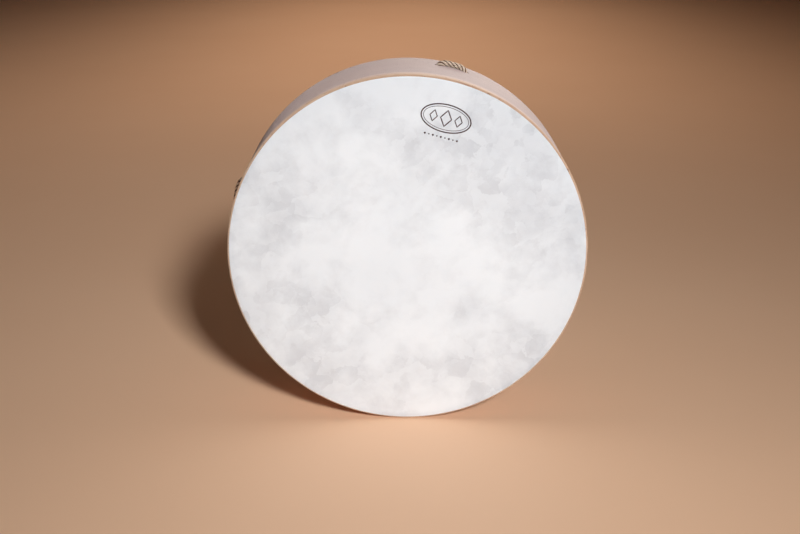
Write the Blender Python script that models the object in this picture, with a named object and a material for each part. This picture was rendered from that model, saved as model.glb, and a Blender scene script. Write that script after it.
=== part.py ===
"""Frame drum, standing on its edge with the head facing -Y.

Metres, +Z up. The origin is on the floor, under the middle of the drum.
Angles round the rim are measured from the top, turning towards +X.
"""

from math import cos, pi, radians, sin

import bmesh
import bpy
from mathutils import Matrix

# Driving dimensions
RADIUS = 0.1524  # 12 in drum
DEPTH = 0.0889  # 3.5 in deep
SEGMENTS = 96
GAP = 0.0003  # between neighbouring pieces
MERGE = 1e-6

# Shell
SHELL_WALL = 0.0057
COVERING_SHEET = 0.0006
REAR_EDGE_ROUND = 0.0012
BEARING_EDGE_ROUND = 0.002
BEARING_EDGE_LAND = 0.0014
BEARING_EDGE_SLOPE = 0.0025

# Head
HEAD_FILM = 0.0005
HEAD_CORNER = 0.0025
HEAD_COLLAR = 0.0115
GLUE_LAYER = 0.0004
GLUE_MARGIN = 0.0005
ROUND_STEPS = 4

# Rope handle
ARM_TURN = 14.5  # degrees from the top to the first arm
ARM_COUNT = 4
HOLE_HALF_SPREAD = 4.45  # degrees from an arm's middle to each of its two holes
HOLE_RADIUS = 0.0034
HOLE_SIDES = 16
HOLE_FROM_REAR = 0.0254  # 1 in
ROPE_RADIUS = 0.0027
ROPE_RISE = 0.0032  # rope's centre line over the shell, outside
ROPE_SECTION = 2  # bevel resolution
BEND_STEPS = 4
CREST_STEPS = 6
STRAND_OFFSET = 0.0031  # from the middle of an arm, and between the two ropes
STRAIGHT_STEPS = 10
ROPE_END_GAP = 0.0004  # each end's distance from the middle of the crossing

# Lashing round the crossing
LASHING_RADIUS = 0.015
LASHING_HALF_DEPTH = 0.0092
LASHING_ROUND = 0.003

FRONT = -DEPTH / 2
REAR = DEPTH / 2
AXIS_HEIGHT = RADIUS * cos(pi / SEGMENTS)
HOLE_Y = REAR - HOLE_FROM_REAR
COLLAR_END = FRONT + HEAD_COLLAR
SHELL_OUTER = RADIUS - COVERING_SHEET - GAP
SHELL_INNER = SHELL_OUTER - SHELL_WALL
GLUE_OUTER = RADIUS - HEAD_FILM - GAP
GLUE_INNER = GLUE_OUTER - GLUE_LAYER
REBATE = GLUE_INNER - GAP
LASHING_EXIT = LASHING_RADIUS + 0.004

COLOURS = {
    "fibre_shell": ((0.36, 0.22, 0.12), 0.7),
    "grey_covering": ((0.52, 0.43, 0.40), 0.75),
    "head_film": ((0.86, 0.86, 0.85), 0.45),
    "glue": ((0.62, 0.45, 0.26), 0.35),
    "rope": ((0.72, 0.56, 0.40), 0.85),
    "lashing_cord": ((0.62, 0.47, 0.32), 0.85),
}


def clear_scene():
    for old in list(bpy.data.objects):
        bpy.data.objects.remove(old, do_unlink=True)


def material(name):
    """A plain Principled material in one of the drum's colours."""
    colour, roughness = COLOURS[name]
    made = bpy.data.materials.new(name)
    made.use_nodes = True
    shader = made.node_tree.nodes["Principled BSDF"]
    shader.inputs["Base Color"].default_value = (*colour, 1.0)
    shader.inputs["Roughness"].default_value = roughness
    shader.inputs["Metallic"].default_value = 0.0
    return made


def at(radius, depth, angle):
    """The point at this distance from the drum's axis, angle in radians from the top."""
    return (radius * sin(angle), depth, AXIS_HEIGHT + radius * cos(angle))


def add_object(name, mesh_data, made_of):
    piece = bpy.data.objects.new(name, mesh_data)
    bpy.context.scene.collection.objects.link(piece)
    if made_of:
        mesh_data.materials.append(made_of)
    return piece


def rounded(centre_radius, centre_depth, radius, start, end):
    """Points (radius, depth) on an arc, with its angles in degrees from outwards to rearwards."""
    angles = [radians(start + (end - start) * step / ROUND_STEPS) for step in range(ROUND_STEPS + 1)]
    return [(centre_radius + radius * cos(a), centre_depth + radius * sin(a)) for a in angles]


def turned(name, outline, made_of, closed=True):
    """Turn an outline of (radius, depth) points about the drum's axis, with a facet flat on the floor."""
    shape = bmesh.new()
    start = pi + pi / SEGMENTS
    points = [shape.verts.new(at(radius, depth, start)) for radius, depth in outline]
    pairs = list(zip(points, points[1:]))
    if closed:
        pairs.append((points[-1], points[0]))
    edges = [shape.edges.new(pair) for pair in pairs]
    bmesh.ops.spin(
        shape, geom=points + edges, cent=(0, 0, AXIS_HEIGHT), axis=(0, 1, 0), angle=2 * pi, steps=SEGMENTS
    )
    bmesh.ops.remove_doubles(shape, verts=shape.verts, dist=MERGE)
    bmesh.ops.recalc_face_normals(shape, faces=shape.faces)
    mesh = bpy.data.meshes.new(name)
    shape.to_mesh(mesh)
    shape.free()
    mesh.shade_smooth()
    mesh.set_sharp_from_angle(angle=radians(35))
    return add_object(name, mesh, made_of)


def arm_angle(arm):
    return radians(ARM_TURN + arm * 360 / ARM_COUNT)


def hole_cutter():
    """Eight radial rods, one for each rope hole."""
    shape = bmesh.new()
    for arm in range(ARM_COUNT):
        for side in (-1, 1):
            angle = arm_angle(arm) + side * radians(HOLE_HALF_SPREAD)
            rod = bmesh.ops.create_cone(
                shape, cap_ends=True, segments=HOLE_SIDES, radius1=HOLE_RADIUS, radius2=HOLE_RADIUS, depth=0.03
            )
            bmesh.ops.rotate(shape, verts=rod["verts"], cent=(0, 0, 0), matrix=Matrix.Rotation(angle, 3, "Y"))
            bmesh.ops.translate(shape, verts=rod["verts"], vec=at(RADIUS, HOLE_Y, angle))
    mesh = bpy.data.meshes.new("rope_hole_cutter")
    shape.to_mesh(mesh)
    shape.free()
    return as_cutter(add_object("rope_hole_cutter", mesh, None))


def as_cutter(piece):
    piece.hide_render = True
    piece.display_type = "WIRE"
    return piece


def cut(piece, cutter):
    modifier = piece.modifiers.new("cut_" + cutter.name, "BOOLEAN")
    modifier.operation = "DIFFERENCE"
    modifier.solver = "EXACT"
    modifier.object = cutter


def shell_hoop(cutter):
    """The laminated hoop: a rebate for the head's collar, a rounded bearing edge, eased rear edges."""
    front = FRONT + HEAD_FILM + GAP
    land_inner = REBATE - BEARING_EDGE_ROUND - BEARING_EDGE_LAND
    ease = REAR_EDGE_ROUND
    outline = [
        *rounded(REBATE - BEARING_EDGE_ROUND, front + BEARING_EDGE_ROUND, BEARING_EDGE_ROUND, -90, 0),
        (REBATE, COLLAR_END + GAP),
        (SHELL_OUTER, COLLAR_END + GAP),
        *rounded(SHELL_OUTER - ease, REAR - ease, ease, 0, 90),
        *rounded(SHELL_INNER + ease, REAR - ease, ease, 90, 180),
        (SHELL_INNER, front + BEARING_EDGE_SLOPE),
        (land_inner, front),
    ]
    hoop = turned("shell_hoop", outline, material("fibre_shell"))
    cut(hoop, cutter)


def shell_covering(cutter):
    """The thin grey sheet round the outside, from the head's cut edge to the rear edge."""
    inner = RADIUS - COVERING_SHEET
    start = COLLAR_END + GAP
    end = REAR - REAR_EDGE_ROUND
    outline = [(RADIUS, start), (RADIUS, end), (inner, end), (inner, start)]
    sheet = turned("shell_covering", outline, material("grey_covering"))
    cut(sheet, cutter)


def drumhead():
    """The head film: flat across, round over the edge, and down the side as a collar."""
    corner = RADIUS - HEAD_CORNER
    outline = [
        (0, FRONT),
        *rounded(corner, FRONT + HEAD_CORNER, HEAD_CORNER, -90, 0),
        (RADIUS, COLLAR_END),
        (RADIUS - HEAD_FILM, COLLAR_END),
        *rounded(corner, FRONT + HEAD_CORNER, HEAD_CORNER - HEAD_FILM, 0, -90),
        (0, FRONT + HEAD_FILM),
    ]
    turned("drumhead", outline, material("head_film"), closed=False)


def head_glue_band():
    """The glue line that holds the collar on the shell."""
    start = FRONT + HEAD_CORNER + GLUE_MARGIN
    end = COLLAR_END - GLUE_MARGIN
    outline = [(GLUE_OUTER, start), (GLUE_OUTER, end), (GLUE_INNER, end), (GLUE_INNER, start)]
    turned("head_glue_band", outline, material("glue"))


def beside_arm(arm, reach, offset, depth):
    """A point this far out along an arm and this far to its side, clockwise as seen from the front."""
    angle = arm_angle(arm)
    x = sin(angle) * reach + cos(angle) * offset
    z = cos(angle) * reach - sin(angle) * offset
    return (x, depth, AXIS_HEIGHT + z)


def strand(arm, side, crossing_y):
    """One strand of an arm, from the edge of the lashing out to its hole, as (point, thickness) pairs."""
    spread = radians(HOLE_HALF_SPREAD)
    start = (LASHING_EXIT, side * STRAND_OFFSET, crossing_y)
    end = (SHELL_INNER * cos(spread), side * SHELL_INNER * sin(spread), HOLE_Y)
    placed = []
    for step in range(STRAIGHT_STEPS + 1):
        t = step / STRAIGHT_STEPS
        reach, offset, depth = (a + (b - a) * t for a, b in zip(start, end))
        placed.append((beside_arm(arm, reach, offset, depth), ROPE_RADIUS))
    return placed


def floor_room(angle):
    """The height free over the shell at this angle before the floor, less a gap above and below."""
    if cos(angle) >= 0:
        return RADIUS
    return AXIS_HEIGHT / -cos(angle) - RADIUS - 2 * GAP


def arch():
    """The outside stretch's centre line, as (distance from its middle, height) pairs."""
    half_span = RADIUS * radians(HOLE_HALF_SPREAD)
    shoulder = half_span - HOLE_RADIUS
    turns = [pi / 2 * step / BEND_STEPS for step in range(BEND_STEPS + 1)]
    bend = [(shoulder + HOLE_RADIUS * cos(turn), ROPE_RISE * sin(turn)) for turn in turns]
    crest = [(shoulder - 2 * shoulder * step / CREST_STEPS, ROPE_RISE) for step in range(1, CREST_STEPS)]
    return bend + crest + [(-across, height) for across, height in reversed(bend)]


def outside_stretch(arm):
    """The rope over the outside, from one hole to its partner, flatter where the drum stands on it."""
    placed = []
    for across, height in arch():
        angle = arm_angle(arm) + across / RADIUS
        thick = min(ROPE_RADIUS, floor_room(angle) / 2)
        low = min(height, GAP + thick)
        placed.append((at(RADIUS + low, HOLE_Y, angle), thick))
    return placed


def rope(name, first_arm, crossing_y):
    """One rope: both its ends lie in the lashing, and it passes out and in again at two opposite arms."""
    placed = [(beside_arm(first_arm, ROPE_END_GAP, STRAND_OFFSET, crossing_y), ROPE_RADIUS)]
    for arm in (first_arm, first_arm + ARM_COUNT // 2):
        placed += strand(arm, 1, crossing_y)
        placed += outside_stretch(arm)
        placed += reversed(strand(arm, -1, crossing_y))
    placed.append((beside_arm(first_arm, -ROPE_END_GAP, STRAND_OFFSET, crossing_y), ROPE_RADIUS))
    line = bpy.data.curves.new(name, "CURVE")
    line.dimensions = "3D"
    line.bevel_depth = 1.0
    line.bevel_resolution = ROPE_SECTION
    line.use_fill_caps = True
    spline = line.splines.new("POLY")
    spline.points.add(len(placed) - 1)
    for point, (place, thick) in zip(spline.points, placed):
        point.co = (*place, 1.0)
        point.radius = thick
    add_object(name, line, material("rope"))


def channel_cutter(name, arm, low, high):
    """A straight channel through the lashing along one rope's two strands."""
    shape = bmesh.new()
    bmesh.ops.create_cube(shape, size=1.0)
    half_width = STRAND_OFFSET + ROPE_RADIUS + GAP
    bmesh.ops.scale(shape, verts=shape.verts, vec=(2 * half_width, high - low, 4 * LASHING_RADIUS))
    bmesh.ops.rotate(shape, verts=shape.verts, cent=(0, 0, 0), matrix=Matrix.Rotation(arm_angle(arm), 3, "Y"))
    bmesh.ops.translate(shape, verts=shape.verts, vec=(0, (low + high) / 2, AXIS_HEIGHT))
    mesh = bpy.data.meshes.new(name)
    shape.to_mesh(mesh)
    shape.free()
    return as_cutter(add_object(name, mesh, None))


def center_lashing():
    """The bound crossing: a round pad of cord with a channel for each rope."""
    flat = LASHING_RADIUS - LASHING_ROUND
    outline = [
        (0, HOLE_Y - LASHING_HALF_DEPTH),
        *rounded(flat, HOLE_Y - LASHING_HALF_DEPTH + LASHING_ROUND, LASHING_ROUND, -90, 0),
        *rounded(flat, HOLE_Y + LASHING_HALF_DEPTH - LASHING_ROUND, LASHING_ROUND, 0, 90),
        (0, HOLE_Y + LASHING_HALF_DEPTH),
    ]
    pad = turned("center_lashing", outline, material("lashing_cord"), closed=False)
    reach = STRAND_OFFSET + ROPE_RADIUS + GAP
    cut(pad, channel_cutter("front_channel_cutter", 0, HOLE_Y - reach, HOLE_Y + GAP))
    cut(pad, channel_cutter("rear_channel_cutter", 1, HOLE_Y - GAP, HOLE_Y + reach))


def main():
    clear_scene()
    holes = hole_cutter()
    shell_hoop(holes)
    shell_covering(holes)
    drumhead()
    head_glue_band()
    rope("vertical_rope", 0, HOLE_Y - STRAND_OFFSET)
    rope("horizontal_rope", 1, HOLE_Y + STRAND_OFFSET)
    center_lashing()


main()
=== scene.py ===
"""The looks of the frame drum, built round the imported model. Metres, +Z up, head towards -Y."""

from math import cos, pi, radians, sin, tau

import bmesh
import bpy
import numpy as np
from mathutils import Matrix, Vector


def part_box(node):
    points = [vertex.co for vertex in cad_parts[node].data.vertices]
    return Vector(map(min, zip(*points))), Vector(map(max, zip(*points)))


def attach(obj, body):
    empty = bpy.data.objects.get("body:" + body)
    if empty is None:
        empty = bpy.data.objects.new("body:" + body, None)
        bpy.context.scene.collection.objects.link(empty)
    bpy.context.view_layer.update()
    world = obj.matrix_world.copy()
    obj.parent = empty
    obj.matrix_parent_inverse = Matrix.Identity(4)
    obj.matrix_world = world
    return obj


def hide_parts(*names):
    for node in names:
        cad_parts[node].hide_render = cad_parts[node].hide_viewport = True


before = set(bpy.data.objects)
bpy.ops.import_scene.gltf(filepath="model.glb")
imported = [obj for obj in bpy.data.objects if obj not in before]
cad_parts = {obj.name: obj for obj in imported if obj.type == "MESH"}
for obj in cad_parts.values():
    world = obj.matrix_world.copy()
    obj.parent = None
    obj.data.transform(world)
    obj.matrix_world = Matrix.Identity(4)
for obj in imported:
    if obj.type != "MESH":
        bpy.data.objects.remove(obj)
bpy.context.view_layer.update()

# The drum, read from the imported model
HEAD_LOW, HEAD_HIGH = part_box("drumhead")
HOOP_LOW, HOOP_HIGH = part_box("shell_hoop")
LASHING_LOW, LASHING_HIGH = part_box("center_lashing")
RADIUS = (HEAD_HIGH.x - HEAD_LOW.x) / 2
AXIS_HEIGHT = (HEAD_HIGH.z + HEAD_LOW.z) / 2
FRONT = HEAD_LOW.y
REAR = HOOP_HIGH.y
COLLAR_END = HEAD_HIGH.y
HOOP_FRONT = HOOP_LOW.y
HOLE_Y = (LASHING_LOW.y + LASHING_HIGH.y) / 2
MIDDLE = (0, 0, AXIS_HEIGHT)

# Meshes, and the gap that a piece keeps to the floor
ROUND_SEGMENTS = 288
ARC_STEPS = 8
SHARP_ANGLE = radians(35)
GAP = 0.0003

# Head: the film's thickness, its rounded corner, how much of the corner already shows the collar's
# colour, how far the collar's cut edge wavers, and where in the noise the head's pattern starts
FILM = 0.00035
HEAD_CORNER = 0.0026
HEAD_FACE_EDGE = 0.0015
CUT_UNEVENNESS = 0.0003
FLAKE_PATTERN = (15.4, 11.8, 13.3)

# Hoop: its wall, its place under the covering, its edges, the step under the collar, and one ply
HOOP_WALL = 0.0057
HOOP_INSET = 0.0002
BEARING_ROUND = 0.002
INNER_BEVEL = (0.0024, 0.0025)
REAR_EASE = 0.0013
REBATE = 0.0006
REBATE_END = COLLAR_END + 0.0007
PLY = 0.0008

# Rope holes: the flare's depth at each face, and how many times that far the cutter reaches past it
HOLE_RADIUS = 0.0034
HOLE_FLARE = 0.0008
FLARE_REACH = 8
HOLE_SIDES = 32

# Covering: the sheet, its rounded edges, the bare margin behind it, and the seam where it laps
COVERING_SHEET = 0.00045
COVERING_INSET = 0.0001
COVERING_EASE = 0.00015
COVERING_REAR_MARGIN = 0.0011
SEAM_ANGLE = radians(152)
SEAM_LAP = radians(5)
SEAM_LIFT = 0.00025

# Rope handle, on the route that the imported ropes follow: four arms, each with a pair of holes
ARM_TURN = radians(14.5)
ARM_COUNT = 4
HOLE_HALF_SPREAD = radians(4.45)
ROPE_RADIUS = 0.00295
SAMPLE = 0.0007

# Its stretch over the outside: how high and how deep its centre line runs, how square it bends, and
# how much it is flattened and widened
ROPE_RISE = 0.0026
ROPE_DROP = 0.0035
BEND_POWER = 3.4
BEND_STEPS = 60
ROPE_PINCH = 0.15
ROPE_WIDEST = 1.6

# Its inside runs, which lie side by side on each arm, one rope in front of the other
STRAND_OFFSET = 0.0031
STRAND_END_INSET = 0.007
ROPE_END = 0.0004
FRONT_LAYER = HOLE_Y - STRAND_OFFSET
REAR_LAYER = HOLE_Y + STRAND_OFFSET

# Its make: strands laid round each other, a little wide so that no gap shows between them
ROPE_STRANDS = 4
ROPE_LAY = 0.017
STRAND_SIDES = 14
STRAND_OVERLAP = 1.04

# Lashing: its cord's radius and make, the space of a turn in cord radii, the crossing that it goes
# round, and how closely its turns bunch between the arms
LASHING_CORD = 0.00105
LASHING_TURNS = 5
LASHING_LAY = 0.006
CORD_LOBES = 3
CORD_SWELL = 0.13
CORD_SIDES = 12
LASHING_SAMPLE = 0.0005
LANE = 2.06
LASHING_EXIT = 0.019
CROSSING_HALF_DEPTH = 0.0061
CROTCH = 0.0087
CROTCH_BUNCH = 0.45

# Ornament, as far out and as far round as a maker's mark, and the row of dots under it
ORNAMENT_TURN = radians(15)
ORNAMENT_OUT = 0.1205
DOT_ROW = 0.0158
DOT_SPACING = 0.0034
INK = 0.00003

# Camera, at the photographed distance and tilt
CAMERA_DISTANCE = 0.9652
CAMERA_RISE = 0.3145
CAMERA_SIDE = -0.0063
CAMERA_TILT = radians(18.64)
LENS_MM = 54.1

# Floor: flat to this radius, then a sweep of this radius up to a wall of this height
FLOOR_FLAT = 5.0
FLOOR_SWEEP = 2.0
SWEEP_STEPS = 15
WALL_TOP = 4.5
FLOOR_SIDES = 96


def place(radius, depth, angle):
    """The point at this distance from the drum's axis, at an angle clockwise from the top."""
    return (radius * sin(angle), depth, AXIS_HEIGHT + radius * cos(angle))


def linear(*colour):
    """An sRGB colour, 0 to 255, as linear RGBA."""
    scaled = [value / 255 for value in colour]
    return (*(v / 12.92 if v <= 0.04045 else ((v + 0.055) / 1.055) ** 2.4 for v in scaled), 1.0)


# Material helpers


def feed(tree, socket, value):
    """Sets a node's input to a value, or links it to another node's output."""
    if isinstance(value, bpy.types.NodeSocket):
        tree.links.new(value, socket)
    else:
        socket.default_value = value


def add(tree, kind, settings=None, **inputs):
    """A shader node with its settings, and its inputs set or linked by name."""
    node = tree.nodes.new("ShaderNode" + kind)
    for name, value in (settings or {}).items():
        setattr(node, name, value)
    for name, value in inputs.items():
        feed(tree, node.inputs[name.replace("_", " ")], value)
    return node


def new_material(name, roughness, specular=0.5):
    """A material, its node tree and its shader."""
    made = bpy.data.materials.new(name)
    made.use_nodes = True
    tree = made.node_tree
    shader = tree.nodes["Principled BSDF"]
    shader.inputs["Roughness"].default_value = roughness
    shader.inputs["Specular IOR Level"].default_value = specular
    return made, tree, shader


def object_coords(tree, offset=(0, 0, 0)):
    """A point's place in metres, moved by an offset."""
    coords = add(tree, "TexCoord").outputs["Object"]
    return add(tree, "Mapping", Vector=coords, Location=offset).outputs["Vector"]


def noise(tree, scale, detail=4.0, roughness=0.5, distortion=0.0, vector=None):
    """Noise from 0 to 1, with the scale per metre."""
    settings = {"Scale": scale, "Detail": detail, "Roughness": roughness, "Distortion": distortion}
    made = add(tree, "TexNoise", Vector=vector or object_coords(tree), **settings)
    return made.outputs["Fac"]


def math_node(tree, operation, first, second=0.5, clamp=False):
    """One step of arithmetic. A sine or cosine reads only the first value."""
    node = add(tree, "Math", {"operation": operation, "use_clamp": clamp})
    feed(tree, node.inputs[0], first)
    feed(tree, node.inputs[1], second)
    return node.outputs[0]


def times(tree, first, second):
    return math_node(tree, "MULTIPLY", first, second)


def vector_node(tree, operation, first, second=(0, 0, 0), third=(0, 0, 0)):
    node = add(tree, "VectorMath", {"operation": operation})
    for socket, value in zip(node.inputs, (first, second, third)):
        feed(tree, socket, value)
    return node.outputs["Value" if operation in ("LENGTH", "DOT_PRODUCT") else "Vector"]


def weighted(tree, *parts):
    """The sum of (value, weight) pairs."""
    total = 0.0
    for value, weight in parts:
        total = math_node(tree, "ADD", total, times(tree, value, weight))
    return total


def between(tree, value, low, high):
    """0 up to low, 1 from high on, and smooth between. Low may be the larger of the two."""
    settings = {"interpolation_type": "SMOOTHSTEP"}
    made = add(tree, "MapRange", settings, Value=value, From_Min=low, From_Max=high)
    return made.outputs["Result"]


def mix(tree, factor, first, second):
    """A colour from the first, where the factor is 0, to the second, where it is 1."""
    node = add(tree, "Mix", {"data_type": "RGBA"})
    # A Mix node holds sockets for every data type: these are its factor and its two colours
    for index, value in ((0, factor), (6, first), (7, second)):
        feed(tree, node.inputs[index], value)
    return node.outputs[2]


def marked(tree, colour, mark, strength, tint):
    """The colour, turned towards a tint by a strength where the mark is."""
    return mix(tree, times(tree, mark, strength), colour, tint)


def bump(tree, shader, height, strength, distance):
    made = add(tree, "Bump", Height=height, Strength=strength, Distance=distance)
    tree.links.new(made.outputs["Normal"], shader.inputs["Normal"])


def depth_coordinate(tree):
    coords = add(tree, "TexCoord").outputs["Object"]
    return add(tree, "SeparateXYZ", Vector=coords).outputs["Y"]


def from_axis(tree):
    """The way out from the drum's axis to a point, and its length."""
    offset = vector_node(tree, "SUBTRACT", object_coords(tree), MIDDLE)
    flat = vector_node(tree, "MULTIPLY", offset, (1, 0, 1))
    return flat, vector_node(tree, "LENGTH", flat)


def round_noise(tree, around, outward, deep, detail=4.0, roughness=0.55):
    """Noise that follows the hoop round, this fine round it, outwards and in depth."""
    flat, distance = from_axis(tree)
    size = (RADIUS * around, 0, RADIUS * around)
    ring = vector_node(tree, "MULTIPLY", vector_node(tree, "NORMALIZE", flat), size)
    height = add(tree, "CombineXYZ", Y=times(tree, distance, outward)).outputs["Vector"]
    vector = vector_node(tree, "ADD", ring, height)
    depth = times(tree, depth_coordinate(tree), deep)
    settings = {"noise_dimensions": "4D"}
    inputs = {"Scale": 1.0, "Detail": detail, "Roughness": roughness}
    return add(tree, "TexNoise", settings, Vector=vector, W=depth, **inputs).outputs["Fac"]


# Materials


def flakes(tree, coords, size, turn, warp):
    """Overlapping flakes with crisp ragged edges, each with its own tone and a slope of tone across it."""
    base = add(tree, "Mapping", Vector=coords, Rotation=turn).outputs["Vector"]
    shift = add(tree, "TexNoise", Vector=base, Scale=0.9 / size, Detail=5.0, Roughness=0.6).outputs["Color"]
    moved = vector_node(tree, "MULTIPLY_ADD", shift, (warp, warp, warp), base)
    longer = vector_node(tree, "MULTIPLY", moved, (1.0, 1.0, 1.7))
    cells = add(tree, "TexVoronoi", {"feature": "SMOOTH_F1"}, Vector=longer, Scale=1 / size, Smoothness=0.12)
    inside = vector_node(tree, "SUBTRACT", longer, cells.outputs["Position"])
    heading = vector_node(tree, "SUBTRACT", cells.outputs["Color"], (0.5, 0.5, 0.5))
    slope = vector_node(tree, "DOT_PRODUCT", inside, heading)
    tone = add(tree, "SeparateColor", Color=cells.outputs["Color"]).outputs["Red"]
    return weighted(tree, (tone, 1.0), (slope, 1.4 / size))


def head_material():
    """Off-white film with fibre flakes gathered in soft clouds, thin enough to glow with light behind it."""
    made, tree, shader = new_material("fibre_film", 0.42, 0.35)
    coords = object_coords(tree, FLAKE_PATTERN)
    # Clouds, drifts and crumbs are about 10, 3 and 1 cm across
    clouds = noise(tree, 9.5, 2.0, 0.5, 0.2, coords)
    drifts = noise(tree, 30.0, 5.0, 0.55, 0.3, coords)
    crumbs = noise(tree, 130.0, 4.0, 0.6, 0.3, coords)
    large = flakes(tree, coords, 0.022, (0.4, 0.5, 0.3), 0.030)
    small = flakes(tree, coords, 0.010, (1.3, -0.7, 0.9), 0.014)
    gathered = between(tree, weighted(tree, (clouds, 1.1), (drifts, 0.65), (crumbs, 0.08)), 0.74, 1.12)
    shown = between(tree, weighted(tree, (large, 0.6), (small, 0.25), (crumbs, 0.35)), 0.15, 1.1)
    strength = math_node(tree, "ADD", times(tree, shown, 0.6), 0.4)
    dark = times(tree, gathered, strength)
    faint = weighted(tree, (drifts, -0.3), (crumbs, -0.08), (clouds, -0.15))
    shade = math_node(tree, "SUBTRACT", math_node(tree, "ADD", faint, 1.25), dark, clamp=True)
    colour = mix(tree, shade, linear(205, 208, 213), linear(235, 239, 243))
    tree.links.new(colour, shader.inputs["Base Color"])
    height = weighted(tree, (noise(tree, 900.0, 3.0), 1.0), (crumbs, 1.0), (large, 0.3))
    bump(tree, shader, height, 0.12, 0.0002)
    tree.links.new(weighted(tree, (clouds, 0.25), (dark, 0.08), (1.0, 0.3)), shader.inputs["Roughness"])
    shader.inputs["Subsurface Weight"].default_value = 0.35
    shader.inputs["Subsurface Scale"].default_value = 0.002
    shader.inputs["Subsurface Radius"].default_value = (1.0, 0.95, 0.9)
    return made


def collar_material():
    """The film glued down round the side: glue and hoop show through as a tan, palest at its cut edge."""
    made, tree, shader = new_material("glued_collar", 0.68, 0.25)
    patches = round_noise(tree, 70, 200, 200)
    ochre = mix(tree, noise(tree, 160.0, 4.0, 0.6), linear(178, 144, 118), linear(204, 172, 146))
    pale = mix(tree, noise(tree, 120.0, 4.0, 0.6), linear(180, 150, 136), linear(200, 174, 162))
    depth = depth_coordinate(tree)
    # Patches move the change from ochre to pale by up to 7 mm
    across = between(tree, weighted(tree, (depth, 1.0), (patches, -0.007)), FRONT - 0.0030, FRONT + 0.0058)
    colour = mix(tree, across, ochre, pale)
    # Smears and stains run round the drum, and specks don't
    smears = between(tree, round_noise(tree, 40, 300, 900), 0.56, 0.7)
    colour = marked(tree, colour, smears, 0.6, linear(212, 186, 164))
    stains = between(tree, round_noise(tree, 28, 150, 500, 5.0, 0.65), 0.54, 0.68)
    colour = marked(tree, colour, stains, 0.55, linear(150, 106, 88))
    specks = between(tree, noise(tree, 300.0, 3.0, 0.6), 0.63, 0.68)
    colour = marked(tree, colour, specks, 0.6, linear(112, 76, 62))
    # The cut edge itself shows the film's own pale colour
    edge = between(tree, weighted(tree, (depth, 1.0), (patches, 0.001)), COLLAR_END, COLLAR_END + 0.0006)
    colour = mix(tree, edge, colour, linear(214, 192, 174))
    tree.links.new(colour, shader.inputs["Base Color"])
    bump(tree, shader, weighted(tree, (noise(tree, 500.0, 4.0), 1.0), (patches, 1.0)), 0.25, 0.0003)
    shader.inputs["Diffuse Roughness"].default_value = 1.0
    return made


def covering_material():
    """Matte grey-taupe sheet: leathery grain, soft warm and cool clouds, and wear along its rear edge."""
    made, tree, shader = new_material("grey_taupe_sheet", 0.7, 0.3)
    colour = mix(tree, noise(tree, 30.0, 5.0, 0.55), linear(167, 146, 141), linear(189, 166, 159))
    drift = noise(tree, 16.0, 3.0, 0.5, vector=object_coords(tree, (3, 1, 2)))
    colour = marked(tree, colour, between(tree, drift, 0.42, 0.68), 0.5, linear(180, 156, 146))
    streaks = between(tree, round_noise(tree, 35, 0, 700, 5.0, 0.65), 0.5, 0.75)
    colour = marked(tree, colour, streaks, 0.25, linear(150, 130, 128))
    specks = between(tree, noise(tree, 1500.0, 3.0, 0.6), 0.54, 0.66)
    colour = marked(tree, colour, specks, 0.28, linear(130, 112, 109))
    # Rubbed pale in places over the last 3 mm, and a pale line along the front edge
    depth = depth_coordinate(tree)
    rub = between(tree, depth, REAR - 0.0034, REAR - 0.0012)
    worn = times(tree, rub, between(tree, noise(tree, 90.0, 4.0), 0.48, 0.62))
    colour = marked(tree, colour, worn, 0.5, linear(222, 204, 190))
    front = between(tree, depth, COLLAR_END + 0.0010, COLLAR_END + 0.0005)
    colour = mix(tree, front, colour, linear(206, 184, 168))
    tree.links.new(colour, shader.inputs["Base Color"])
    settings = {"feature": "SMOOTH_F1"}
    cells = add(tree, "TexVoronoi", settings, Vector=object_coords(tree), Scale=900.0, Smoothness=0.6)
    height = weighted(tree, (cells.outputs["Distance"], 1.0), (specks, 1.0), (streaks, 0.4))
    bump(tree, shader, height, 0.5, 0.0003)
    shader.inputs["Diffuse Roughness"].default_value = 1.0
    return made


def hoop_material():
    """Resin-bonded wood fibre: brown plies that run round the hoop, with lighter and darker fibres."""
    made, tree, shader = new_material("wood_fibre", 0.6, 0.35)
    plies = round_noise(tree, 12, 2400, 260, 3.0)
    fibres = round_noise(tree, 90, 3000, 1400)
    colour = mix(tree, plies, linear(146, 112, 84), linear(182, 148, 114))
    colour = marked(tree, colour, between(tree, fibres, 0.5, 0.75), 0.7, linear(204, 172, 136))
    dark = between(tree, round_noise(tree, 150, 2000, 900, 3.0), 0.6, 0.74)
    colour = marked(tree, colour, dark, 0.5, linear(98, 70, 50))
    # The seams between plies show on the rear edge only
    _, distance = from_axis(tree)
    waves = math_node(tree, "SINE", times(tree, distance, tau / PLY))
    at_edge = between(tree, depth_coordinate(tree), REAR - 0.0013, REAR - 0.0009)
    seams = times(tree, between(tree, waves, 0.55, 0.95), at_edge)
    colour = marked(tree, colour, seams, 0.6, linear(86, 58, 38))
    tree.links.new(colour, shader.inputs["Base Color"])
    bump(tree, shader, weighted(tree, (fibres, 1.0), (plies, 0.6), (seams, -0.6)), 0.4, 0.0004)
    return made


def glue_material():
    made, tree, shader = new_material("cured_glue", 0.3)
    colour = mix(tree, noise(tree, 200.0), linear(190, 148, 96), linear(220, 184, 130))
    tree.links.new(colour, shader.inputs["Base Color"])
    bump(tree, shader, noise(tree, 350.0), 0.3, 0.0003)
    return made


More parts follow.
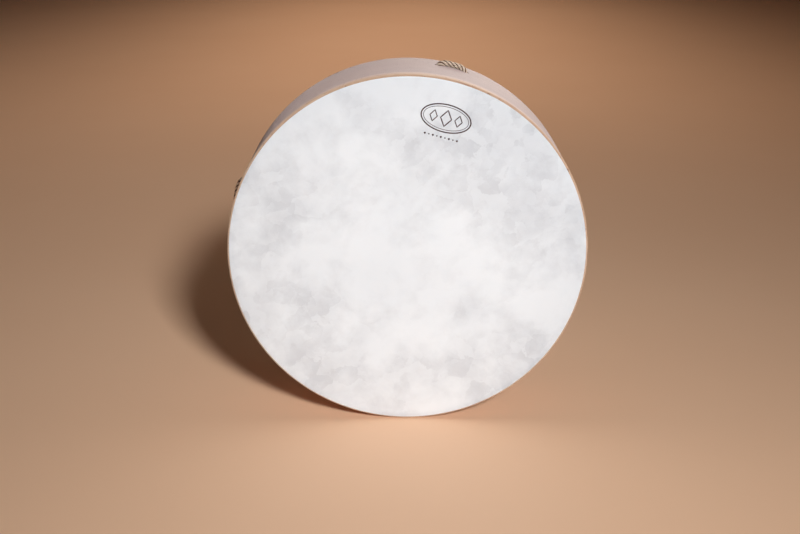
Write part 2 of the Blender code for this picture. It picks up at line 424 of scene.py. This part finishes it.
def yarn_material(name, light, dark, groove_shade, lines, twist):
    """Spun yarn: thin threads lying at an angle on each strand, with painted shade between the threads and
    in the gaps between strands.

    Lines is how many threads lie round a strand, and twist how many pass along one lay length of it.
    """
    made, tree, shader = new_material(name, 0.85, 0.2)
    coords = add(tree, "UVMap", {"uv_map": "strand"}).outputs["UV"]
    parts = add(tree, "SeparateXYZ", Vector=coords)
    along = times(tree, parts.outputs["X"], twist)
    around = times(tree, parts.outputs["Y"], lines)
    wave = math_node(tree, "SINE", times(tree, math_node(tree, "ADD", along, around), tau))
    threads = between(tree, wave, -0.9, 0.7)
    base = mix(tree, noise(tree, 300.0, 4.0, 0.6), dark, light)
    # Painted shade: the colour darkens between the threads, where the thread wave dips
    colour = mix(tree, threads, mix(tree, 0.35, base, dark), base)
    # Painted shade: the third colour is laid where each strand's crown falls away towards its neighbours
    crown = math_node(tree, "COSINE", times(tree, parts.outputs["Y"], tau))
    colour = mix(tree, between(tree, crown, 0.34, 0.78), groove_shade, colour)
    tree.links.new(colour, shader.inputs["Base Color"])
    height = math_node(tree, "ADD", wave, times(tree, noise(tree, 2500.0, 2.0), 0.8))
    bump(tree, shader, height, 0.9, 0.0002)
    return made


def ink_material():
    made, tree, shader = new_material("dark_ink", 0.5)
    colour = mix(tree, noise(tree, 800.0), linear(48, 18, 22), linear(70, 34, 36))
    tree.links.new(colour, shader.inputs["Base Color"])
    return made


def floor_material():
    made, tree, shader = new_material("warm_floor", 0.65, 0.25)
    colour = mix(tree, noise(tree, 3.0, 3.0), linear(243, 194, 157), linear(248, 201, 165))
    tree.links.new(colour, shader.inputs["Base Color"])
    return made


# Mesh helpers


def add_piece(name, mesh, *materials):
    piece = bpy.data.objects.new(name, mesh)
    bpy.context.scene.collection.objects.link(piece)
    for made in materials:
        mesh.materials.append(made)
    return piece


def smooth_shade(mesh):
    mesh.shade_smooth()
    mesh.set_sharp_from_angle(angle=SHARP_ANGLE)


def finish_mesh(shape, name):
    bmesh.ops.recalc_face_normals(shape, faces=shape.faces)
    mesh = bpy.data.meshes.new(name)
    shape.to_mesh(mesh)
    shape.free()
    smooth_shade(mesh)
    return mesh


def circle(radius, height, sides):
    """Points round the Z axis at a height."""
    angles = [tau * k / sides for k in range(sides)]
    return [(radius * cos(a), radius * sin(a), height) for a in angles]


def join_rings(shape, rings, closed=True):
    """Faces between each ring of points and the next. All rings have the same number of points."""
    for ring, following in zip(rings, rings[1:]):
        count = len(ring)
        for a in range(count if closed else count - 1):
            b = (a + 1) % count
            shape.faces.new((ring[a], ring[b], following[b], following[a]))


def rounded(centre_radius, centre_depth, radius, start, end):
    """Points (radius, depth) on an arc, with its angles in degrees from outwards to rearwards."""
    angles = [radians(start + (end - start) * step / ARC_STEPS) for step in range(ARC_STEPS + 1)]
    return [(centre_radius + radius * cos(a), centre_depth + radius * sin(a)) for a in angles]


def turned(name, outline_at, material, closed=True):
    """A ring whose outline of (radius, depth) points may change with the angle."""
    shape = bmesh.new()
    rings = []
    for step in range(ROUND_SEGMENTS):
        angle = tau * step / ROUND_SEGMENTS
        rings.append([shape.verts.new(place(r, y, angle)) for r, y in outline_at(angle)])
    join_rings(shape, rings + rings[:1], closed)
    bmesh.ops.remove_doubles(shape, verts=shape.verts, dist=1e-7)
    return add_piece(name, finish_mesh(shape, name), material)


def wobble(angle, size, turns):
    """A smooth unevenness round the drum, the same each time. Whole turns close it on itself."""
    slow = sin(turns * angle + 0.7)
    middling = 0.6 * sin(int(2.3 * turns) * angle + 2.1)
    quick = 0.4 * sin(5 * turns * angle + 4.0)
    return size * (slow + middling + quick) / 2


def arm_angle(arm):
    return ARM_TURN + arm * tau / ARM_COUNT


def hole_cutter(outer, inner):
    """A radial rod for each hole, flared a little where it meets the wall's outer and inner faces."""
    reach = FLARE_REACH * HOLE_FLARE
    profile = [
        (HOLE_RADIUS + reach, outer + reach),
        (HOLE_RADIUS, outer - HOLE_FLARE),
        (HOLE_RADIUS, inner + HOLE_FLARE),
        (HOLE_RADIUS + reach, inner - reach),
    ]
    shape = bmesh.new()
    for arm in range(ARM_COUNT):
        for side in (-1, 1):
            angle = arm_angle(arm) + side * HOLE_HALF_SPREAD
            turn = Matrix.Translation((0, HOLE_Y, AXIS_HEIGHT)) @ Matrix.Rotation(angle, 4, "Y")
            rings = []
            for wide, height in profile:
                spots = circle(wide, height, HOLE_SIDES)
                rings.append([shape.verts.new(turn @ Vector(spot)) for spot in spots])
            join_rings(shape, rings)
            shape.faces.new(rings[0])
            shape.faces.new(rings[-1])
    return add_piece("hole_cutter", finish_mesh(shape, "hole_cutter"))


def cut_holes(piece, outer, inner):
    """Cuts the rope holes into a ring and shades it again."""
    cutter = hole_cutter(outer, inner)
    modifier = piece.modifiers.new("holes", "BOOLEAN")
    modifier.operation = "DIFFERENCE"
    modifier.solver = "EXACT"
    modifier.object = cutter
    graph = bpy.context.evaluated_depsgraph_get()
    mesh = bpy.data.meshes.new_from_object(piece.evaluated_get(graph), depsgraph=graph)
    piece.modifiers.remove(modifier)
    piece.data = mesh
    smooth_shade(mesh)
    bpy.data.objects.remove(cutter)


# Shell and head


def cut_line(angle):
    """Depth of the hand-cut edge of the head's collar."""
    return COLLAR_END + wobble(angle, CUT_UNEVENNESS, 9)


def head_film():
    """The film: flat across, rolled over the edge, and down the side to a hand-cut edge."""
    corner = RADIUS - HEAD_CORNER
    corner_end = FRONT + HEAD_CORNER

    def outline(angle):
        end = cut_line(angle)
        return [
            (0, FRONT),
            (RADIUS * 0.5, FRONT),
            *rounded(corner, corner_end, HEAD_CORNER, -90, 0),
            (RADIUS, end),
            (RADIUS - FILM, end),
            *rounded(corner, corner_end, HEAD_CORNER - FILM, 0, -90),
            (RADIUS * 0.5, FRONT + FILM),
            (0, FRONT + FILM),
        ]

    piece = turned("head_film", outline, head_material(), closed=False)
    piece.data.materials.append(collar_material())
    for face in piece.data.polygons:
        reach = (face.center.x**2 + (face.center.z - AXIS_HEIGHT) ** 2) ** 0.5
        face.material_index = int(reach > RADIUS - HEAD_FACE_EDGE or face.center.y >= corner_end)
    return piece


def fibre_hoop():
    """The bare hoop, with a rounded bearing edge and eased rear edges."""
    outer = RADIUS - COVERING_SHEET - HOOP_INSET
    inner = outer - HOOP_WALL
    bevel_width, bevel_depth = INNER_BEVEL

    def outline(angle):
        return [
            *rounded(outer - REBATE - BEARING_ROUND, HOOP_FRONT + BEARING_ROUND, BEARING_ROUND, -90, 0),
            (outer - REBATE, REBATE_END),
            (outer, REBATE_END),
            *rounded(outer - REAR_EASE, REAR - REAR_EASE, REAR_EASE, 0, 90),
            *rounded(inner + REAR_EASE, REAR - REAR_EASE, REAR_EASE, 90, 180),
            (inner, HOOP_FRONT + bevel_depth),
            (inner + bevel_width, HOOP_FRONT),
        ]

    piece = turned("fibre_hoop", outline, hoop_material())
    cut_holes(piece, outer, inner)
    return piece


def covering_sheet():
    """The thin sheet round the hoop, lapped over itself at one seam."""
    inner = RADIUS - COVERING_SHEET - COVERING_INSET

    def outline(angle):
        past_seam = (angle - SEAM_ANGLE) % tau
        lift = SEAM_LIFT if past_seam < SEAM_LAP else 0.0
        outer = RADIUS - COVERING_INSET + lift
        start = cut_line(angle) + COVERING_EASE
        end = REAR - COVERING_REAR_MARGIN + wobble(angle, 0.00015, 5)
        return [
            (inner, start),
            (outer - COVERING_EASE, start),
            (outer, start + COVERING_EASE),
            (outer, end - COVERING_EASE),
            (outer - COVERING_EASE, end),
            (inner, end),
        ]

    piece = turned("covering_sheet", outline, covering_material())
    cut_holes(piece, RADIUS, RADIUS - HOOP_WALL)
    return piece


# Routes and tubes


def lengths_along(points):
    """The distance along a route to each of its points."""
    steps = np.linalg.norm(np.diff(points, axis=0), axis=1)
    return np.concatenate([[0], np.cumsum(steps)])


def even_rows(rows, lengths, count, passes):
    """Distances at even steps along a route and its rows there, with the corners softened in passes."""
    at = np.linspace(0, lengths[-1], count)
    even = np.stack([np.interp(at, lengths, column) for column in rows.T], axis=1)
    for _ in range(passes):
        even[1:-1] = (even[:-2] + 2 * even[1:-1] + even[2:]) / 4
    return at, even


def unit(vectors):
    return vectors / np.linalg.norm(vectors, axis=-1, keepdims=True)


def tube_mesh(name, tubes, distances):
    """One mesh of closed tubes. A tube is a (steps, sides, 3) array, with a distance for each step.

    Its map holds that distance and how far round the tube a point lies.
    """
    points, faces, maps = [], [], []
    first = 0
    for tube, distance in zip(tubes, distances):
        steps, sides = tube.shape[:2]
        points.append(tube.reshape(-1, 3))
        row = np.arange(steps - 1)[:, None] * sides
        col = np.arange(sides)[None, :]
        following = (col + 1) % sides
        corners = [row + col, row + following, row + sides + following, row + sides + col]
        quads = np.stack(corners, axis=-1) + first
        faces += quads.reshape(-1, 4).tolist()
        before = np.repeat(distance[:-1, None], sides, axis=1)
        after = np.repeat(distance[1:, None], sides, axis=1)
        along = np.stack([before, before, after, after], axis=-1)
        around = np.stack([col, col + 1, col + 1, col], axis=-1) / sides
        around = np.broadcast_to(around, along.shape)
        maps.append(np.stack([along, around], axis=-1).reshape(-1, 2))
        for end in (0, steps - 1):
            cap = [first + end * sides + k for k in range(sides)]
            faces.append(cap if end else cap[::-1])
            maps.append(np.full((sides, 2), distance[end]))
        first += steps * sides
    mesh = bpy.data.meshes.new(name)
    mesh.from_pydata(np.concatenate(points).tolist(), [], faces)
    layer = mesh.uv_layers.new(name="strand")
    layer.data.foreach_set("uv", np.concatenate(maps).astype(np.float32).ravel())
    mesh.shade_smooth()
    return mesh


# Ropes


def beside_arm(arm, reach, offset, depth):
    """The point this far out along an arm of the handle, and this far beside it."""
    angle = arm_angle(arm)
    x = sin(angle) * reach + cos(angle) * offset
    z = cos(angle) * reach - sin(angle) * offset
    return (x, depth, AXIS_HEIGHT + z)


def floor_room(angle):
    """Height free over the shell at this angle before the floor."""
    if cos(angle) >= 0:
        return RADIUS
    return AXIS_HEIGHT / -cos(angle) - RADIUS - GAP


def outside_stretch(arm):
    """Centre line over the outside, as (point, squash) pairs: out of one hole, over low, and in at the next.

    The rope is pulled a little flat over the shell, and pressed flatter where the drum stands on it.
    """
    half_span = RADIUS * HOLE_HALF_SPREAD
    # Half a superellipse, which rises steeply out of the holes and is nearly flat between them
    power = 2 / BEND_POWER
    placed = []
    for step in range(BEND_STEPS + 1):
        turn = pi * step / BEND_STEPS
        across = half_span * abs(cos(turn)) ** power * (1 if cos(turn) > 0 else -1)
        height = (ROPE_RISE + ROPE_DROP) * sin(turn) ** power - ROPE_DROP
        angle = arm_angle(arm) + across / RADIUS
        free = floor_room(angle) / 2 + max(0, -height)
        thick = min(ROPE_RADIUS * (1 - ROPE_PINCH), free)
        point = place(RADIUS + min(height, thick + 0.0001), HOLE_Y, angle)
        placed.append((point, thick / ROPE_RADIUS))
    return placed


def strand_line(arm, side, crossing_y):
    """The two ends of one inside strand of an arm, from the lashing out to its hole."""
    reach = RADIUS - STRAND_END_INSET
    start = beside_arm(arm, LASHING_EXIT, side * STRAND_OFFSET, crossing_y)
    end = beside_arm(arm, reach * cos(HOLE_HALF_SPREAD), side * reach * sin(HOLE_HALF_SPREAD), HOLE_Y)
    return [(start, 1.0), (end, 1.0)]


def rope_route(first_arm, crossing_y):
    """A rope's whole centre line: from the lashing round one arm, across, round the other and back."""
    placed = [(beside_arm(first_arm, ROPE_END, STRAND_OFFSET, crossing_y), 1.0)]
    for arm in (first_arm, first_arm + ARM_COUNT // 2):
        placed += strand_line(arm, 1, crossing_y)
        placed += outside_stretch(arm)
        placed += reversed(strand_line(arm, -1, crossing_y))
    placed.append((beside_arm(first_arm, -ROPE_END, STRAND_OFFSET, crossing_y), 1.0))
    return placed


def rope_centre(first_arm, crossing_y):
    """Distances, points and squash values at even steps along a rope."""
    placed = rope_route(first_arm, crossing_y)
    rows = np.array([(*point, squash) for point, squash in placed])
    lengths = lengths_along(rows[:, :3])
    count = int(round(lengths[-1] / SAMPLE)) + 1
    at, even = even_rows(rows, lengths, count, 2)
    return at, even[:, :3], even[:, 3]


def route_axes(points):
    """Tangents, outward directions and depth directions along a route that runs near one depth."""
    along = unit(np.gradient(points, axis=0))
    depth = unit(np.array([0.0, 1.0, 0.0]) - along * along[:, 1:2])
    return along, np.cross(depth, along), depth


def strand_tube(centre, squash, phi):
    """Rings of points round one strand, which lies at an angle phi round the rope's centre line.

    Four strands of this size touch inside the rope's circle, and each ring leans square to its strand.
    """
    along, out, depth = route_axes(centre)
    spread = np.minimum(squash**-0.5, ROPE_WIDEST)
    strand = ROPE_RADIUS / (1 + 2**0.5)
    middle = ROPE_RADIUS - strand
    slope = tau * middle / ROPE_LAY
    lean = 1 / np.sqrt(1 + slope**2)
    theta = tau * np.arange(STRAND_SIDES) / STRAND_SIDES
    high = middle + strand * np.cos(theta)[None, :] + 0 * phi[:, None]
    wide = STRAND_OVERLAP * strand * np.sin(theta)[None, :] + 0 * high
    across = wide * lean
    forward = -wide * slope * lean
    outwards = high * np.cos(phi)[:, None] - across * np.sin(phi)[:, None]
    rearwards = high * np.sin(phi)[:, None] + across * np.cos(phi)[:, None]
    return (
        centre[:, None]
        + out[:, None] * (outwards * squash[:, None])[..., None]
        + depth[:, None] * (rearwards * spread[:, None])[..., None]
        + along[:, None] * forward[..., None]
    )


def laid_rope(name, first_arm, crossing_y, material):
    """A rope of four round strands, laid round each other."""
    at, centre, squash = rope_centre(first_arm, crossing_y)
    strands = []
    for k in range(ROPE_STRANDS):
        phi = tau * at / ROPE_LAY + tau * k / ROPE_STRANDS
        strands.append(strand_tube(centre, squash, phi))
    return add_piece(name, tube_mesh(name, strands, [at / ROPE_LAY] * ROPE_STRANDS), material)


# Lashing round the crossing


def carried_normals(along):
    """A direction square to a route at each of its points, carried along it without twisting."""
    normal = np.zeros_like(along)
    normal[0] = unit(np.cross(along[0], (0.3, 0.5, 0.8)))
    for i in range(1, len(along)):
        normal[i] = unit(normal[i - 1] - along[i] * (normal[i - 1] @ along[i]))
    return normal


def cord_tube(points):
    """A laid cord, as rings of a lobed section that turns once each lay length, and its distances."""
    at = lengths_along(points)
    along = unit(np.gradient(points, axis=0))
    normal = carried_normals(along)
    other = np.cross(along, normal)
    theta = tau * np.arange(CORD_SIDES) / CORD_SIDES
    swell = 1 + CORD_SWELL * np.cos(CORD_LOBES * (theta[None] - tau * at[:, None] / LASHING_LAY))
    a = LASHING_CORD * swell * np.cos(theta)[None]
    b = LASHING_CORD * swell * np.sin(theta)[None]
    tube = points[:, None] + normal[:, None] * a[..., None] + other[:, None] * b[..., None]
    return tube, at / LASHING_LAY


def lashing_turns(diagonal, half_depth):
    """Cord turns along one diagonal: side by side over the faces, bunched between the arms.

    Both ends are tucked in towards the middle of the crossing.
    """
    turns, cord = LASHING_TURNS, LASHING_CORD
    t = np.linspace(0, tau * turns, turns * 64 + 1)
    lane = t / tau - turns / 2
    # 1 over the middle of the front and rear faces, 0 between the arms
    face = np.abs(np.sin(t))
    side = lane * cord * LANE * (CROTCH_BUNCH + (1 - CROTCH_BUNCH) * face**0.8)
    # Every second turn lies on top of its neighbours between the arms
    stacked = 0.5 - 0.5 * np.cos(t / 2)
    reach = CROTCH + cord + np.abs(lane) * cord * LANE * CROTCH_BUNCH + stacked * cord * 1.3
    u = np.sign(np.cos(t)) * np.abs(np.cos(t)) ** 0.55 * reach
    y = np.sign(np.sin(t)) * face**0.55 * half_depth
    tuck = np.linspace(0.2, 1, 8, endpoint=False)
    u = np.concatenate([tuck * u[0], u, tuck[::-1] * u[-1]])
    y = np.concatenate([0 * tuck, y, 0 * tuck])
    side = np.concatenate([tuck * side[0], side, tuck[::-1] * side[-1]])
    direction = np.array([sin(diagonal), 0.0, cos(diagonal)])
    across = np.array([cos(diagonal), 0.0, -sin(diagonal)])
    rows = np.array([0.0, HOLE_Y, AXIS_HEIGHT]) + u[:, None] * direction + side[:, None] * across
    rows[:, 1] += y
    lengths = lengths_along(rows)
    return even_rows(rows, lengths, int(lengths[-1] / LASHING_SAMPLE) + 1, 3)[1]


def crossing_lashing(material):
    """Two sets of cord turns, one over the other, along the two diagonals between the arms."""
    tubes, distances = [], []
    for level, diagonal in enumerate((ARM_TURN + pi / 4, ARM_TURN - pi / 4)):
        # The first set lies just over the ropes, and the second beds down a little on the first
        half_depth = CROSSING_HALF_DEPTH + LASHING_CORD * (1.1 + 1.85 * level)
        tube, distance = cord_tube(lashing_turns(diagonal, half_depth))
        tubes.append(tube)
        distances.append(distance)
    return add_piece("crossing_lashing", tube_mesh("crossing_lashing", tubes, distances), material)


# Printed ornament


def on_ornament(x, z):
    """A point of the ornament, from its middle, as (x, z) on the head."""
    middle = np.array([ORNAMENT_OUT * sin(ORNAMENT_TURN), AXIS_HEIGHT + ORNAMENT_OUT * cos(ORNAMENT_TURN)])
    right = np.array([cos(ORNAMENT_TURN), -sin(ORNAMENT_TURN)])
    up = np.array([sin(ORNAMENT_TURN), cos(ORNAMENT_TURN)])
    return tuple(middle + right * x + up * z)


def oval(wide, tall, count=72):
    """An oval's outline, from its half-width and half-height."""
    angles = [tau * k / count for k in range(count)]
    return [on_ornament(wide * cos(a), tall * sin(a)) for a in angles]


def lozenge_corners(x, z, wide, tall):
    """The corners of a lozenge round a point, from its half-width and half-height."""
    return [(x + wide, z), (x, z + tall), (x - wide, z), (x, z - tall)]


def lozenge(x, wide, tall, parts=6):
    """A lozenge's outline, with each side in as many parts."""
    corners = lozenge_corners(x, 0, wide, tall)
    spots = []
    for (x0, z0), (x1, z1) in zip(corners, corners[1:] + corners[:1]):
        spots += [on_ornament(x0 + (x1 - x0) * k / parts, z0 + (z1 - z0) * k / parts) for k in range(parts)]
    return spots


def ink_line(shape, outline, half_width, depth):
    """A flat closed line of ink along an outline of (x, z) points."""
    count = len(outline)
    inner, outer = [], []
    for i, point in enumerate(outline):
        before = np.array(outline[i - 1])
        after = np.array(outline[(i + 1) % count])
        tangent = unit(after - before)
        normal = np.array([tangent[1], -tangent[0]])
        for line, sign in ((inner, -1), (outer, 1)):
            x, z = np.array(point) + sign * half_width * normal
            line.append(shape.verts.new((x, depth, z)))
    join_rings(shape, [inner, outer])


def printed_ornament():
    """A plain double oval round three lozenges, over a row of nine dots, printed near the rim."""
    shape = bmesh.new()
    depth = FRONT - INK
    ink_line(shape, oval(0.0208, 0.0113), 0.00052, depth)
    ink_line(shape, oval(0.0189, 0.0094), 0.00022, depth)
    ink_line(shape, lozenge(0.0, 0.0046, 0.0068), 0.00046, depth)
    for x in (-0.0105, 0.0105):
        ink_line(shape, lozenge(x, 0.0031, 0.0047), 0.0004, depth)
    for k in range(-4, 5):
        size = 0.00075 if k % 2 else 0.00105
        spots = [on_ornament(*spot) for spot in lozenge_corners(DOT_SPACING * k, -DOT_ROW, size, size)]
        shape.faces.new([shape.verts.new((x, depth, z)) for x, z in spots])
    piece = add_piece("printed_ornament", finish_mesh(shape, "printed_ornament"), ink_material())
    thick = piece.modifiers.new("ink", "SOLIDIFY")
    thick.thickness = INK
    thick.offset = 0.0
    return piece


# Stage, lights, camera


def camera():
    """The photograph's view: in front of the drum, a little above it and tilted down."""
    data = bpy.data.cameras.new("camera")
    data.lens = LENS_MM
    data.sensor_width = 36
    eye = bpy.data.objects.new("camera", data)
    eye.location = (CAMERA_SIDE, FRONT - CAMERA_DISTANCE, AXIS_HEIGHT + CAMERA_RISE)
    eye.rotation_euler = (pi / 2 - CAMERA_TILT, 0, 0)
    bpy.context.scene.collection.objects.link(eye)
    bpy.context.scene.camera = eye


def area_light(name, azimuth, elevation, distance, size, power, colour, spread, aim=MIDDLE):
    """A light aimed at a point, with angles in degrees. Azimuth 0 is in front, turning towards +X."""
    data = bpy.data.lights.new(name, "AREA")
    data.size = size
    data.energy = power
    data.color = colour
    data.spread = radians(spread)
    lamp = bpy.data.objects.new(name, data)
    az, el = radians(azimuth), radians(elevation)
    direction = Vector((sin(az) * cos(el), -cos(az) * cos(el), sin(el)))
    lamp.location = Vector(aim) + direction * distance
    lamp.rotation_euler = direction.to_track_quat("Z", "Y").to_euler()
    bpy.context.scene.collection.objects.link(lamp)
    return lamp


def light_only(lamps, pieces, name):
    """Keeps lights off everything but these pieces, as a studio's flags would."""
    lit = bpy.data.collections.new(name)
    for piece in pieces:
        lit.objects.link(piece)
    for lamp in lamps:
        lamp.light_linking.receiver_collection = lit
    return lit


def cove():
    """A round floor that sweeps up into a wall, so that no view shows where it ends."""
    sweep = []
    for step in range(SWEEP_STEPS + 1):
        a = radians(90 * step / SWEEP_STEPS)
        sweep.append((FLOOR_FLAT + FLOOR_SWEEP * sin(a), FLOOR_SWEEP - FLOOR_SWEEP * cos(a)))
    profile = [(0.01, 0.0), (1.0, 0.0), (2.5, 0.0), *sweep, (FLOOR_FLAT + FLOOR_SWEEP, WALL_TOP)]
    shape = bmesh.new()
    rings = []
    for radius, height in profile:
        rings.append([shape.verts.new(spot) for spot in circle(radius, height, FLOOR_SIDES)])
    join_rings(shape, rings)
    shape.faces.new(rings[0][::-1])
    return add_piece("floor", finish_mesh(shape, "floor"), floor_material())


def stage():
    """The floor, and a world that adds a little warm light from everywhere."""
    floor = cove()
    world = bpy.data.worlds.new("studio")
    world.use_nodes = True
    background = world.node_tree.nodes["Background"]
    background.inputs["Color"].default_value = (1.0, 0.9, 0.82, 1)
    background.inputs["Strength"].default_value = 0.03
    bpy.context.scene.world = world
    bpy.context.scene.view_settings.view_transform = "Standard"
    return floor


def lights(floor):
    """The key light reaches everything; three others reach only the drum, and four only the floor."""
    area_light(
        "key", 17, 31, distance=2.5, size=0.35, power=5.2,
        colour=(0.88, 0.945, 0.985), spread=48, aim=(0.03, -0.15, 0.18),
    )
    side = area_light(
        "side", 80, 45, distance=2.2, size=0.8, power=0.7, colour=(1.0, 0.76, 0.7), spread=60
    )
    rear = area_light(
        "rear", 162, 22, distance=2.2, size=1.1, power=7.2, colour=(1.0, 0.92, 0.82), spread=90
    )
    far = area_light(
        "far", 180, 90, distance=1.2, size=0.9, power=6.4,
        colour=(1.0, 0.83, 0.67), spread=110, aim=(0, 2.4, 0),
    )
    far.data.shape = "RECTANGLE"
    far.data.size_y = 2.6
    bounce = area_light(
        "bounce", 245, -32, distance=2.2, size=1.2, power=2.5, colour=(1.0, 0.88, 0.78), spread=90
    )
    above_floor = [far]
    for name, x, y in (("front floor", 0, -2.8), ("left floor", -2.8, 0.4), ("right floor", 2.8, 0.4)):
        lamp = area_light(
            name, 0, 90, distance=2.2, size=1.8, power=11.0,
            colour=(1.0, 0.86, 0.72), spread=95, aim=(x, y, 0),
        )
        above_floor.append(lamp)
    pieces = [piece for piece in bpy.context.scene.objects if piece.type == "MESH" and piece != floor]
    drum = light_only([side, rear, bounce], pieces, "drum")
    # The bounce comes up from under the floor, so only the drum's own pieces block it
    bounce.light_linking.blocker_collection = drum
    light_only(above_floor, [floor], "floor only")


def main():
    """Builds the stage and the pieces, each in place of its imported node, and lights them."""
    camera()
    floor = stage()
    # The third colour of each yarn is painted shade for the gaps between its strands
    cream, sand, rope_groove_shade = linear(255, 238, 218), linear(250, 216, 186), linear(104, 40, 16)
    rope_yarn = yarn_material("rope_yarn", cream, sand, rope_groove_shade, 14, 26.0)
    straw, tan, brown = linear(240, 216, 188), linear(204, 170, 136), linear(190, 152, 116)
    cord_yarn = yarn_material("lashing_yarn", straw, tan, brown, 9, 3.0)
    rides = {
        "drumhead": (head_film(), "head_film"),
        "shell_hoop": (fibre_hoop(), "fibre_shell"),
        "shell_covering": (covering_sheet(), "grey_covering"),
        "vertical_rope": (laid_rope("vertical_rope_strands", 0, FRONT_LAYER, rope_yarn), "rope"),
        "horizontal_rope": (laid_rope("horizontal_rope_strands", 1, REAR_LAYER, rope_yarn), "rope"),
        "center_lashing": (crossing_lashing(cord_yarn), "lashing_cord"),
    }
    for node, (piece, slot) in rides.items():
        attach(piece, "root")
        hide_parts(node)
    ornament = printed_ornament()
    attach(ornament, "root")
    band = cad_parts["head_glue_band"]
    band.data.materials.clear()
    band.data.materials.append(glue_material())
    lights(floor)


main()
